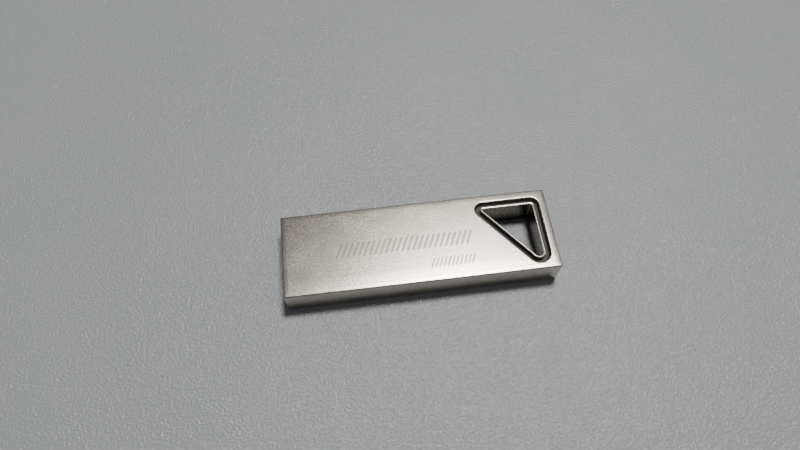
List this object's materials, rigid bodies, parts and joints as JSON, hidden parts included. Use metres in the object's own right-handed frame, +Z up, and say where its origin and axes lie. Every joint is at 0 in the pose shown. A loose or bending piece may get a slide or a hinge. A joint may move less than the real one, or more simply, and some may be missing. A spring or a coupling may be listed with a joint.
{
  "type": "usb flash drive",
  "caption": "Capless flash drive: a slim satin metal bar, open as a USB-A plug at one end, with an eyelet-lined triangular key-ring hole at the other, and a moulded memory module on a tray.",
  "frame": {"origin": "under the middle of the body, on the surface that the drive lies on", "axes": "+X along the body from the plug mouth to the key-ring end, +Y to the long side that the key-ring hole is nearer, +Z up through the marked face"},
  "size_m": [0.038, 0.0122, 0.0045],
  "materials": {
    "satin_body_metal": "satin",
    "satin_eyelet_metal": "satin",
    "tray_plastic": "matte",
    "retainer_plastic": "matte",
    "adhesive": "satin",
    "solder_mask": "satin",
    "moulding_compound": "matte",
    "gold_plate": "polished",
    "silicon": "polished",
    "die_film": "matte",
    "bond_wire_gold": "polished",
    "capacitor_ceramic": "matte",
    "resistor_ceramic": "satin",
    "solder": "satin"
  },
  "bodies": {
    "root": {"outer_shell": "satin_body_metal", "key_eyelet": "satin_eyelet_metal", "module_tray": "tray_plastic", "module_retainer": "retainer_plastic", "tray_adhesive": "adhesive", "module_substrate": "solder_mask", "module_mold_cap": "moulding_compound", "vbus_contact": "gold_plate", "data_minus_contact": "gold_plate", "data_plus_contact": "gold_plate", "ground_contact": "gold_plate", "test_pads": "gold_plate", "controller_die": "silicon", "controller_die_film": "die_film", "controller_bond_wires": "bond_wire_gold", "memory_die_1": "silicon", "memory_die_2": "silicon", "memory_die_3": "silicon", "memory_die_4": "silicon", "memory_die_film_1": "die_film", "memory_die_film_2": "die_film", "memory_die_film_3": "die_film", "memory_die_film_4": "die_film", "memory_bond_wires": "bond_wire_gold", "bond_fingers": "gold_plate", "capacitors": "capacitor_ceramic", "resistors": "resistor_ceramic", "passive_solder": "solder"}
  },
  "joints": []
}
